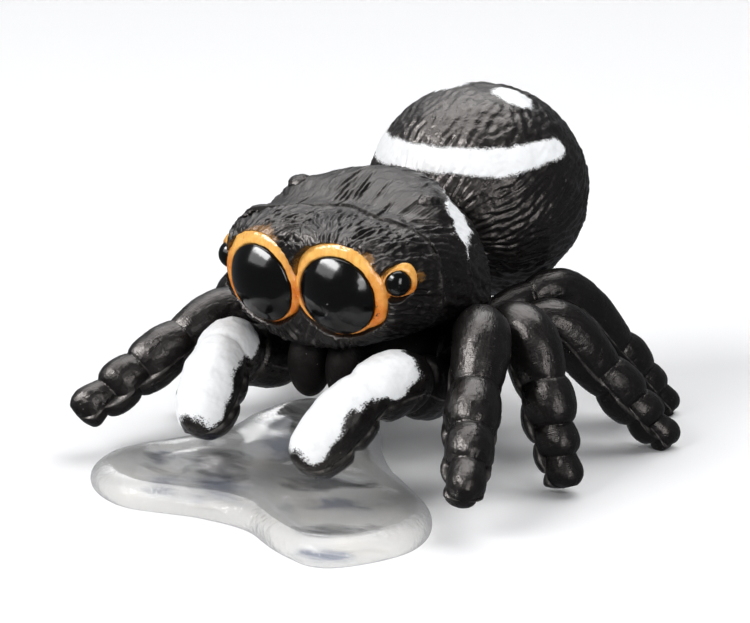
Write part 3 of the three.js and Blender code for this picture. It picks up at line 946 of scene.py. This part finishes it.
def band_distance(place):
    """How far inside the white band or spots a point of the abdomen lies, in millimetres."""
    bearing, height = sphere_angles(place)
    degree = math.radians(1) * ABDOMEN_HALF.x
    upper = 33.8 + 0.33 * max(0, -50 - bearing) + 2.0 * ease(bearing, 45, 75)
    dip = 1.2 * ease(bearing, 20, 35) * (1 - ease(bearing, 45, 60))
    lower = 19.4 + 5.5 * ease(abs(bearing), 48, 92) - dip
    middle, half = (upper + lower) / 2, (upper - lower) / 2
    past = max(0, abs(bearing) - 88) * math.cos(math.radians(28))
    band = (half - math.hypot(height - middle, past)) * degree
    spots = []
    for side, x, y in SPOTS:
        offset = place - Vector((x, y, place.z))
        long = offset.x * side * 0.94 + offset.y * 0.34
        wide = offset.y * 0.94 - offset.x * side * 0.34
        spots.append(1.8 * (1 - math.hypot(long / 2.25, wide / 1.95)))
    return max(band, max(spots) if place.z > ABDOMEN_AT.z else -1)


def abdomen_lie(place):
    """The way the abdomen's hair lies: back and up, and closing in on the midline."""
    return Vector((-0.04 * place.x + 0.12, 1, 0.35))


ABDOMEN_CUTS = 117
ABDOMEN_HAIR_SPACING = 0.78


def abdomen_stroke(place, normal, rng):
    """One wavy groove: soft and broad on top, long and crisp on the sides."""
    depth = bpy.context.scene.figure_sizes.abdomen_groove_depth / MM
    if abs(normal.y) > 0.96 and normal.y > 0 or rng.random() > 0.86:
        return None
    top = ease(normal.z, 0.35, 0.75)
    turn = 0.5 * noise.noise(place * 0.2) + rng.gauss(0, lerp(0.1, 0.22, top))
    lie = laid(abdomen_lie(place), normal, turn)
    length = lerp(rng.uniform(2.2, 4.6), rng.uniform(1.2, 2.6), top)
    width = lerp(rng.uniform(0.17, 0.34), rng.uniform(0.3, 0.55), top)
    cut = depth * lerp(rng.uniform(0.15, 0.65), rng.uniform(0.15, 0.38), top)
    if band_distance(place) > -0.2:
        cut *= 0.18
    return lie, length, width, cut, rng.uniform(-0.5, 0.5)


class BuildAbdomen(bpy.types.Operator):
    """Model the abdomen with its carved hair, the waist and the spinnerets"""

    bl_idname = "spider_figure.abdomen"
    bl_label = "Abdomen"

    def execute(self, context):
        bm = bmesh.new()
        bmesh.ops.create_cube(bm, size=2)
        bmesh.ops.subdivide_edges(bm, edges=bm.edges, cuts=ABDOMEN_CUTS, use_grid_fill=True)
        for vert in bm.verts:
            x, y, z = (math.tan(c * math.pi / 4) for c in vert.co)
            out = Vector((x, y, z)).normalized()
            vert.co = ABDOMEN_AT + Vector(out[i] * ABDOMEN_HALF[i] for i in range(3))
        rng = random.Random(21)
        lumpy(bm, (0.16, 0.4), (0.07, 1.3))
        carve(bm, lambda place, normal: abdomen_stroke(place, normal, rng), ABDOMEN_HAIR_SPACING, rng)
        store(bm, "white_line", band_distance)
        look = black_moulding("abdomen black plastic", stretch=(1, 1.8, 1))
        look.set(IOR=1.48, Specular_Tint=(1.0, 0.92, 0.885, 1))
        painted(look, "white_line", white_paint(look), 0.5, 0.85)
        finish_piece(bm, "abdomen_moulding", look.material, ["abdomen"])
        self.waist()
        self.spinnerets()
        return {"FINISHED"}

    def waist(self):
        path = Path([(0, 20.5, 16.6), (0, 22.4, 17.2), (0, 24.6, 18.4)])
        rings = 32

        def place(ring, angle):
            share = ring / (rings - 1)
            centre = path.at(share)
            if angle is None:
                return centre
            radius = 2.7 + 0.12 * math.sin(share * 22)
            return centre + Vector((math.cos(angle) * radius, 0, math.sin(angle) * radius))

        material = black_moulding("waist black plastic").material
        finish_piece(swept(48, rings, place), "pedicel_moulding", material, ["pedicel"])

    def spinnerets(self):
        knobs = [(0, 43.55, 20.6, 1.45), (1.2, 43.15, 21.3, 1.15), (-1.2, 43.15, 21.3, 1.15)]
        parts = []
        for x, y, z, radius in knobs:
            bm = bmesh.new()
            at = Matrix.Translation((x, y, z))
            bmesh.ops.create_icosphere(bm, subdivisions=4, radius=radius, matrix=at)
            parts.append(bm)
        material = black_moulding("spinneret black plastic").material
        bm = fused(join(*parts), voxel=0.1, smoothing=4)
        finish_piece(bm, "spinnerets_moulding", material, ["spinnerets"])


# ---------------------------------------------------------------- limbs
LIMB_AROUND = 144
CREASE_BOW = 0.014  # creases bow towards the toe over the back of a limb, by this share of its length
SEAM_STEPS = 5  # the mould halves meet this many steps of the limb's round below its side


def limb(path, rings, upper_at, lower_at, seed, slip):
    """A moulded limb: an upper and a lower half shell that meet along a line of flash.
    upper_at and lower_at give each half's radius at a share of the length. The lower half has
    slipped sideways and down by the slip, more towards the far end."""
    step = 2 * math.pi / LIMB_AROUND
    flash = bpy.context.scene.figure_sizes.flash / MM
    chord = path.at(1) - path.at(0)
    side = Vector((chord.y, -chord.x, 0)).normalized()
    stations = []
    for ring in range(rings):
        share = ring / (rings - 1)
        along = path.along(share)
        across = (side - along * side.dot(along)).normalized()
        stations.append((path.at(share), across, across.cross(along), share))
    seam_angle = SEAM_STEPS * step
    wander = [noise.noise(Vector((ring * 0.09, seed, 0))) for ring in range(rings)]
    rough = [flash * clamp(0.55 + 1.3 * height) for height in wander]
    flashed = []

    def place(ring, angle):
        centre, across, back, share = stations[ring]
        if angle is None:
            flashed.append(0.0)
            return centre
        under = min(-angle, math.pi + angle)
        below = under > seam_angle + step / 2
        on_seam = not below and under > seam_angle - step / 2
        flashed.append(rough[ring] / flash if on_seam else 0.0)
        lean = CREASE_BOW * math.sin(angle) ** 2
        high, low = upper_at(max(share - lean, 0)), lower_at(share)
        radius = low if below else high
        if on_seam:
            radius = max(high, low) + rough[ring]
        if below:
            slipped = ease(share, 0.25, 0.7) * (1 - ease(share, 0.97, 1.0))
            centre = centre + (across * slip[0] - back * slip[1]) * slipped
        return centre + across * (math.cos(angle) * radius) + back * (math.sin(angle) * radius * DEEP)

    bm = swept(LIMB_AROUND, rings, place)
    store_values(bm, "flash", flashed)
    store_lie(bm, path, side)
    return bm


def store_lie(bm, path, side):
    """Keeps the coordinates of the straightened limb, for marks that run along it."""
    layer = bm.verts.layers.float_vector.new("lie")
    samples = 120
    tree = tree_of([path.at(index / samples) for index in range(samples + 1)])
    for vert in bm.verts:
        station, index, _ = tree.find(vert.co)
        offset = vert.co - station
        vert[layer] = (offset.dot(side), offset.z, index / samples * path.length)


def swell(share, start, end, from_radius, radius, to_radius):
    """A bead between two creases."""
    step = clamp((share - start) / (end - start))
    return lerp(lerp(from_radius, to_radius, step), radius, math.sin(step * math.pi) ** 0.5)


def beads(crease, rows, share):
    """The radius along a limb made of beads, from a first crease: each row has a bead's end, its
    radius and the crease at its end."""
    start = 0.0
    for end, radius, next_crease in rows:
        if share <= end:
            return swell(share, start, end, crease, radius, next_crease)
        start, crease = end, next_crease
    return rows[-1][2]


def leg_rows(radii, femur_share, crease, drift):
    """Beads of a leg from hip to toe, with their creases moved on by a drift."""
    hip, femur, bead, small, toe = radii
    lower = 1 - femur_share
    ends = [femur_share * 0.36, femur_share, femur_share + lower * 0.4, femur_share + lower * 0.69]
    ends = [min(1.0, end + drift) for end in ends] + [1.0]
    sizes = [hip * 1.04, femur, bead, small, toe]
    rows = []
    for index, (end, size) in enumerate(zip(ends, sizes)):
        after = sizes[min(index + 1, 4)]
        rows.append((end, size, 0.12 if index == 4 else min(size, after) * crease))
    return rows


LEG_RINGS, PALP_RINGS = 220, 240


def leg_skin(row, seed):
    """A leg of the left side, which stands on the floor."""
    hip, knee, ankle, foot = (Vector(row[key]) for key in ("hip", "knee", "ankle", "foot"))
    root = Vector((hip.x * 0.8, hip.y, hip.z))
    toe = foot + (foot - ankle).normalized() * 0.1
    path = Path([root, hip, knee, ankle, ankle.lerp(foot, 0.5), toe])
    femur_share = Path([root, hip, knee, ankle]).length / path.length
    first = row["radii"][0] * 0.9
    upper = leg_rows(row["radii"], femur_share, 0.79, 0.0)
    lower = leg_rows([r * 0.93 for r in row["radii"]], femur_share, 0.74, 0.06)

    def upper_at(share):
        return beads(first, upper, share)

    def lower_at(share):
        return beads(first, lower, share)

    bm = limb(path, LEG_RINGS, upper_at, lower_at, seed, (0.4, 0.1))
    lumpy(bm, (0.07, 0.6), (0.025, 2.2))
    for vert in bm.verts:
        vert.co.z = max(vert.co.z, 0.0)
    return bm


class BuildLegs(bpy.types.Operator):
    """Model the legs with their beads, creases and mould lines"""

    bl_idname = "spider_figure.legs"
    bl_label = "Legs"

    def execute(self, context):
        look = with_flash(black_moulding("leg black plastic", "lie", (1, 1, 3))).material
        for side, word in SIDES:
            for index, row in enumerate(LEGS):
                if side < 0 and index == 0:
                    row = RIGHT_FRONT_LEG
                bm = leg_skin(row, index + 1 + side)
                if side < 0:
                    mirror(bm)
                stem = f"leg_{index + 1}_{word}"
                nodes = [f"{stem}_femur", f"{stem}_lower"]
                finish_piece(bm, f"{stem}_moulding", look, nodes)
        return {"FINISHED"}


def palp_radius(share):
    """Upper half: the base lobe, the bulge above the first crease, and the long end."""
    rows = [(0.0, 1.0), (0.05, 2.0), (0.18, 2.95), (0.3, 2.9), (0.36, 2.75), (0.46, 3.05), (0.56, 2.95),
            (0.64, 2.8), (0.72, 3.1), (0.84, 2.95), (0.93, 2.4), (0.985, 1.2), (1.0, 0.2)]
    crease = 0.36 * bell(share - 0.345, 0.016) + 0.26 * bell(share - 0.59, 0.022)
    return through(rows, share) - crease


def palp_lower_radius(share):
    """Lower half: its own lobes, deeper and later than the upper ones."""
    creases = ((0.5, 0.42, 0.02), (0.6, 0.62, 0.022), (0.55, 0.8, 0.02))
    cut = sum(depth * bell(share - at, width) for depth, at, width in creases)
    return palp_radius(share) * 0.98 - 0.06 - cut * ease(share, 0.1, 0.2)


def palp_paint(path, side):
    """How far inside the white on top of a palp a point lies, in millimetres. The brush came from
    the right, so the left side of both stays black."""
    samples = 160
    tree = tree_of([path.at(index / samples) for index in range(samples + 1)])

    def distance(place):
        station, index, _ = tree.find(place)
        share = index / samples
        offset = place - station
        along = path.along(share)
        back = Vector((0, 0, 1)) - along * along.z
        height = offset.dot(back.normalized())
        outward = offset.x * side
        line = 0.1 + 0.9 * ease(outward, -1, 2) + 0.7 * bell(share - 0.74, 0.05) * ease(outward, 0, 2)
        line -= 0.7 * ease(share, 0.86, 0.95) + 1.3 * bell(share - 0.54, 0.06) * ease(outward, 0, 2)
        return min(height - line, (share - 0.44) * path.length, (0.975 - share) * path.length)

    return distance


class BuildPalps(bpy.types.Operator):
    """Model the palps with their white painted backs"""

    bl_idname = "spider_figure.palps"
    bl_label = "Palps"

    def execute(self, context):
        look = with_flash(black_moulding("palp black plastic", "lie", (1, 1, 3)))
        painted(look, "white_line", white_paint(look), 0.5, 1.1)
        for side, word in SIDES:
            points = [Vector(point) for point in PALP]
            if side < 0:
                for point, lift, inward in zip(points, RIGHT_PALP["lift"], RIGHT_PALP["inward"]):
                    point += Vector((-inward, 0, lift))
            end = points[-1] + (points[-1] - points[-2]).normalized() * 0.2
            path = Path(points[:-1] + [end])
            slip = (-0.3, 0.3) if side > 0 else (0.6, 0.3)
            bm = limb(path, PALP_RINGS, palp_radius, palp_lower_radius, 31 + side, slip)
            lumpy(bm, (0.1, 0.7), (0.04, 2.0))
            store(bm, "white_line", palp_paint(path, side))
            if side < 0:
                mirror(bm)
            nodes = [f"palp_{word}_{part}" for part in ("femur", "tibia", "tarsus")]
            finish_piece(bm, f"palp_{word}_moulding", look.material, nodes)
        return {"FINISHED"}


# ---------------------------------------------------------------- underside and jaws
def oval(at, half, around=48, rings=40):
    """An egg-like solid of three half sizes."""

    def place(ring, angle):
        turn = math.pi * (ring + 0.5) / rings
        out = Vector((0, 0, round(math.cos(turn))))
        if angle is not None:
            flat = math.sin(turn)
            out = Vector((flat * math.cos(angle), flat * math.sin(angle), math.cos(turn)))
        return Vector(at) + Vector(out[i] * half[i] for i in range(3))

    return swept(around, rings, place)


def fang_stroke(place, normal):
    """The short slanting groove that marks a fang low on the front of a jaw."""
    if normal.y < -0.9 and 8.8 < place.z < 9.6:
        return laid(Vector((0.7, 0, -0.7)), Vector((0, -1, 0)), 0), 2.4, 0.2, 0.25, 0.3
    return None


class BuildUnderside(bpy.types.Operator):
    """Model the breast plate, the leg roots and the jaws"""

    bl_idname = "spider_figure.underside"
    bl_label = "Underside"

    def execute(self, context):
        look = black_moulding("underside black plastic", duller=0.32)
        look.set(IOR=1.16)
        jaw = black_moulding("jaw black plastic", duller=0.18)
        jaw.set(IOR=1.19)
        middle = Vector((0, 15.2, 12.0))
        parts = [oval(middle, (8.6, 8.5, 3.5))]
        for row in LEGS:
            hip = Vector(row["hip"])
            for side, _ in SIDES:
                at = (side * hip.x * 0.68, lerp(hip.y, middle.y, 0.2), hip.z - 1.2)
                parts.append(oval(at, (3.0, 1.95, 2.0)))
        bm = fused(join(*parts), voxel=0.16, smoothing=3)
        lumpy(bm, (0.1, 0.7))
        finish_piece(bm, "sternum_moulding", look.material, ["sternum"])
        rng = random.Random(41)
        for side, word in SIDES:
            bm = oval((2.4, 4.9, 11.2), (2.25, 2.4, 3.7), 80, 80)
            carve(bm, fang_stroke, 2.0, rng)
            if side < 0:
                mirror(bm)
            node = f"chelicera_{word}"
            finish_piece(bm, f"{node}_moulding", jaw.material, [node])
        return {"FINISHED"}


# ---------------------------------------------------------------- clear base
BASE_MIDDLE = Vector((0.0, -2.0, 0.0))


def base_outline():
    """The outline of the base in order, taken from its solid's widest level."""
    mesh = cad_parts["stand_base"].data
    points = [FRAME_TO_MODEL @ vert.co for vert in mesh.vertices]
    wide = [p for p in points if 0.8 < p.z < 1.2]
    ordered = sorted(wide, key=lambda p: math.atan2(p.y - BASE_MIDDLE.y, p.x - BASE_MIDDLE.x))
    outline = [ordered[0]]
    for point in ordered[1:]:
        if (point - outline[-1]).to_2d().length > 0.2:
            outline.append(point)
    return [Vector((p.x, p.y, 0)) for p in outline]


class BuildBase(bpy.types.Operator):
    """Model the clear three-lobed display base"""

    bl_idname = "spider_figure.base"
    bl_label = "Clear base"

    def execute(self, context):
        outline = base_outline()
        loop = Path(outline[-2:] + outline + outline[:2], 8)
        skip = Path(outline[-2:] + outline[:1], 8).length / loop.length
        span = 1 - 2 * skip
        around, rings = 300, 72
        low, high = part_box("stand_base")
        thick = (high.z - low.z) / MM
        hollow = context.scene.figure_sizes.base_hollow / MM
        widest, shoulder, foot = 0.9, 2.3, 0.6  # height of the widest line, and the edge's two roundings
        top_end, edge_end = 0.45, 0.72  # shares of the rings where the top and the edge end
        depths = []

        def place(ring, angle):
            share = ring / (rings - 1)
            if angle is None:
                depths.append(1.0)
                return BASE_MIDDLE + Vector((0, 0, thick - hollow if share < 0.5 else 0))
            edge = loop.at(skip + span * ((angle / (2 * math.pi)) % 1)) - BASE_MIDDLE
            width = edge.length
            if share < top_end:
                out, height = (width - shoulder) * (share / top_end) ** 0.8, thick
            elif share < edge_end:
                turn = math.pi * (share - top_end) / (edge_end - top_end)
                across, down = (shoulder, thick - widest) if turn < math.pi / 2 else (foot, widest)
                out = width - across + across * math.sin(turn)
                height = widest + down * math.cos(turn)
            else:
                out, height = (width - foot) * (1 - (share - edge_end) / (1 - edge_end)), 0
            spot = BASE_MIDDLE + edge.normalized() * max(out, 0.02)
            depths.append(ease(width - out, 0.5, 3.2))
            if share < top_end:
                inside = ease(width - out, 2.2, 7.0)
                height -= (hollow + 0.25 * noise.noise(spot * 0.13)) * inside
            return Vector((spot.x, spot.y, height))

        bm = swept(around, rings, place)
        store_values(bm, "inside", depths)
        # Painted reflection and shadow: where the dark patches of the base go.
        store(bm, "reflection_shade", reflection_shade_at)
        base = finish_piece(bm, "stand_base_moulding", clear_look(), ["stand_base"])
        base.visible_shadow = False
        return {"FINISHED"}


# Patches of painted reflection and shadow in the base: middle, half width and half length along a bearing
# that they share.
REFLECTION_SHADE_PATCHES = [((-5.9, -6.4), 3.8, 8.5), ((-11.3, -8.7), 2.2, 4.4), ((16.4, -16.6), 5.8, 3.2),
          ((7.0, -4.4), 5.4, 3.0), ((-9.9, 9.6), 3.0, 7.0)]
REFLECTION_SHADE_BEARING = math.radians(35)


def reflection_shade_at(place):
    """1 in the middle of a patch of painted reflection and shadow, 0 at its edge and less beyond."""
    cos, sin = math.cos(REFLECTION_SHADE_BEARING), math.sin(REFLECTION_SHADE_BEARING)
    most = -1.0
    for (x, y), wide, long in REFLECTION_SHADE_PATCHES:
        aside, beyond = place.x - x, place.y - y
        across, along = aside * cos + beyond * sin, beyond * cos - aside * sin
        most = max(most, 1 - math.hypot(across / wide, along / long))
    return most


def clear_look():
    """Clear plastic: large dark patches of painted reflection and shadow where the black figure is
    reflected and shades the base, pale warm patches, a painted highlight line inside the edge, painted
    shade at the edge, and a skin that is streaky at its edge.
    """
    colours = bpy.context.scene.figure_colours
    look = Look("clear plastic")
    inside = look.attribute("inside")
    ragged = look.ramp(look.noise(3.5, 2, (1.6, 0.8, 1), 1.0), 0.3, 0.7, -0.4, 0.3)
    # Painted reflection and shadow: dark patches where the black figure is reflected in the base and shades
    # it.
    reflection_shade = look.ramp(look.maths("ADD", look.attribute("reflection_shade"), ragged), 0.6, 0.0)
    warm = look.ramp(look.noise(5.0, 1, (1.2, 0.8, 1), 0.5), 0.5, 0.62)
    patches = look.mix(reflection_shade, opaque(colours.reflection_shade), opaque(colours.clear))
    patches = look.mix(look.maths("MULTIPLY", warm, 0.5), patches, opaque((0.84, 0.78, 0.68)))
    # Painted highlight: a paler line inside the edge; painted shade: the edge itself is painted a little
    # darker.
    contour = look.maths("MULTIPLY", look.ramp(inside, 0.62, 0.74), look.ramp(inside, 0.9, 0.78))
    patches = look.mix(inside, opaque(colours.clear, 0.84), patches)
    look.set(Base_Color=look.mix(look.maths("MULTIPLY", contour, 0.5), patches, opaque(colours.clear)))
    edge = look.ramp(inside, 0, 0.7, 1, 0.15)
    streaks = look.maths("MULTIPLY", look.noise(0.45, 4, (1.8, 1, 1), 0.6), edge)
    skin = look.bump(streaks, 0.12, 1.0, look.bump(look.noise(7.0, 1, (1.4, 0.8, 1)), 0.25))
    # Painted reflection and shadow: the dark patches are also more opaque.
    reflection_shade_cover = look.maths("MULTIPLY", look.ramp(reflection_shade, 1, 0), inside)
    look.set(Roughness=0.08, IOR=1.08, Specular_IOR_Level=0.3, Transmission_Weight=0.85)
    look.set(Alpha=look.ramp(reflection_shade_cover, 0, 1, 0.58, 0.88))
    look.set(Coat_Weight=0.5, Coat_Roughness=0.12, Normal=skin, Coat_Normal=skin)
    return look.material


# ---------------------------------------------------------------- stage
CAMERA_AT = Vector((163.91, -216.76, 88.11))
CAMERA_AZIMUTH, CAMERA_ELEVATION = 35.5, 14.5
FOCAL_PIXELS, PICTURE_WIDTH, SENSOR = 2800, 750, 36
LIGHT_AIM = Vector((0, 12, 16))


def toward(azimuth, elevation):
    """The direction from the figure towards a bearing, from its front round to its left."""
    a, e = math.radians(azimuth), math.radians(elevation)
    return Vector((math.sin(a) * math.cos(e), -math.cos(a) * math.cos(e), math.sin(e)))


def softbox(name, azimuth, elevation, distance, width, height, power):
    """A rectangular lamp that shines on the figure from a bearing. Its sizes are in metres."""
    light = bpy.data.lights.new(name, "AREA")
    light.shape, light.size, light.size_y, light.energy = "RECTANGLE", width, height, power
    lamp = bpy.data.objects.new(name, light)
    direction = toward(azimuth, elevation)
    lamp.location = MODEL_TO_FRAME @ (LIGHT_AIM + direction * distance / MM)
    lamp.rotation_mode = "QUATERNION"
    lamp.rotation_quaternion = (-direction).to_track_quat("-Z", "Y")
    lamp.visible_transmission = False
    bpy.context.scene.collection.objects.link(lamp)
    return lamp


# Lights that only show as glints on glossy skins: azimuth, elevation, distance, width, height, power.
GLINTS = {
    "key glint": (-32, 43, 0.9, 0.75, 0.24, 17.5),
    "key fringe": (-32, 27, 0.9, 0.75, 0.3, 3.0),
    "side glint": (56, 9, 0.8, 0.22, 0.32, 2.0),
    "back glint": (-131, 70, 1.2, 1.2, 1.0, 22.0),
    "low back glint": (-138, 30, 1.2, 0.9, 0.4, 1.3),
}


class BuildStage(bpy.types.Operator):
    """Set up the floor, the studio light and the camera"""

    bl_idname = "spider_figure.stage"
    bl_label = "Stage"

    def execute(self, context):
        scene = context.scene
        bm = bmesh.new()
        just_below = Matrix.Translation((0, 0, -0.00003))
        bmesh.ops.create_circle(bm, cap_ends=True, segments=96, radius=3.0, matrix=just_below)
        mesh = bpy.data.meshes.new("floor")
        bm.to_mesh(mesh)
        bm.free()
        floor = bpy.data.objects.new("floor", mesh)
        scene.collection.objects.link(floor)
        look = Look("pale floor")
        look.set(Base_Color=opaque(scene.figure_colours.floor), Roughness=0.7)
        mesh.materials.append(look.material)
        floor.visible_glossy = False
        softbox("key light", -24, 36, 0.9, 0.52, 0.42, 5.3).visible_glossy = False
        softbox("overhead light", 165, 62, 1.5, 1.5, 1.2, 15.5).visible_glossy = False
        softbox("side light", 62, 26, 0.8, 0.26, 0.28, 1.6)
        for name, source in GLINTS.items():
            softbox(name, *source).visible_diffuse = False
        world = bpy.data.worlds.new("studio")
        world.use_nodes = True
        sky = world.node_tree.nodes["Background"].inputs
        sky["Color"].default_value, sky["Strength"].default_value = (0.9, 0.93, 1.0, 1), 0.15
        scene.world = world
        scene.view_settings.view_transform = "Standard"
        self.camera(scene)
        return {"FINISHED"}

    def camera(self, scene):
        lens_data = bpy.data.cameras.new("camera")
        lens_data.sensor_width = SENSOR
        lens_data.lens = SENSOR * FOCAL_PIXELS / PICTURE_WIDTH
        lens_data.clip_start, lens_data.clip_end = 0.01, 20
        camera = bpy.data.objects.new("camera", lens_data)
        camera.location = MODEL_TO_FRAME @ CAMERA_AT
        camera.rotation_mode = "QUATERNION"
        camera.rotation_quaternion = (-toward(CAMERA_AZIMUTH, CAMERA_ELEVATION)).to_track_quat("-Z", "Y")
        scene.collection.objects.link(camera)
        scene.camera = camera


# ---------------------------------------------------------------- panel and registration
BUILDERS = (BuildStage, BuildFace, BuildCarapace, BuildEyes, BuildRims, BuildAbdomen, BuildUnderside,
            BuildLegs, BuildPalps, BuildBase)


class FigurePanel(bpy.types.Panel):
    """Lists the pieces of the figure and the sizes and colours that shape them"""

    bl_idname = "VIEW3D_PT_spider_figure"
    bl_label = "Spider Figure"
    bl_space_type = "VIEW_3D"
    bl_region_type = "UI"
    bl_category = "Spider Figure"

    def draw(self, context):
        for settings in (context.scene.figure_sizes, context.scene.figure_colours):
            for key in settings.__annotations__:
                self.layout.prop(settings, key)
        for builder in BUILDERS:
            self.layout.operator(builder.bl_idname)


CLASSES = (FigureSizes, FigureColours, *BUILDERS, FigurePanel)


def register():
    for item in CLASSES:
        bpy.utils.register_class(item)
    bpy.types.Scene.figure_sizes = PointerProperty(type=FigureSizes)
    bpy.types.Scene.figure_colours = PointerProperty(type=FigureColours)


def unregister():
    del bpy.types.Scene.figure_colours
    del bpy.types.Scene.figure_sizes
    for item in reversed(CLASSES):
        bpy.utils.unregister_class(item)


def main():
    register()
    for builder in BUILDERS:
        group, name = builder.bl_idname.split(".")
        getattr(getattr(bpy.ops, group), name)()


if __name__ == "__main__":
    main()
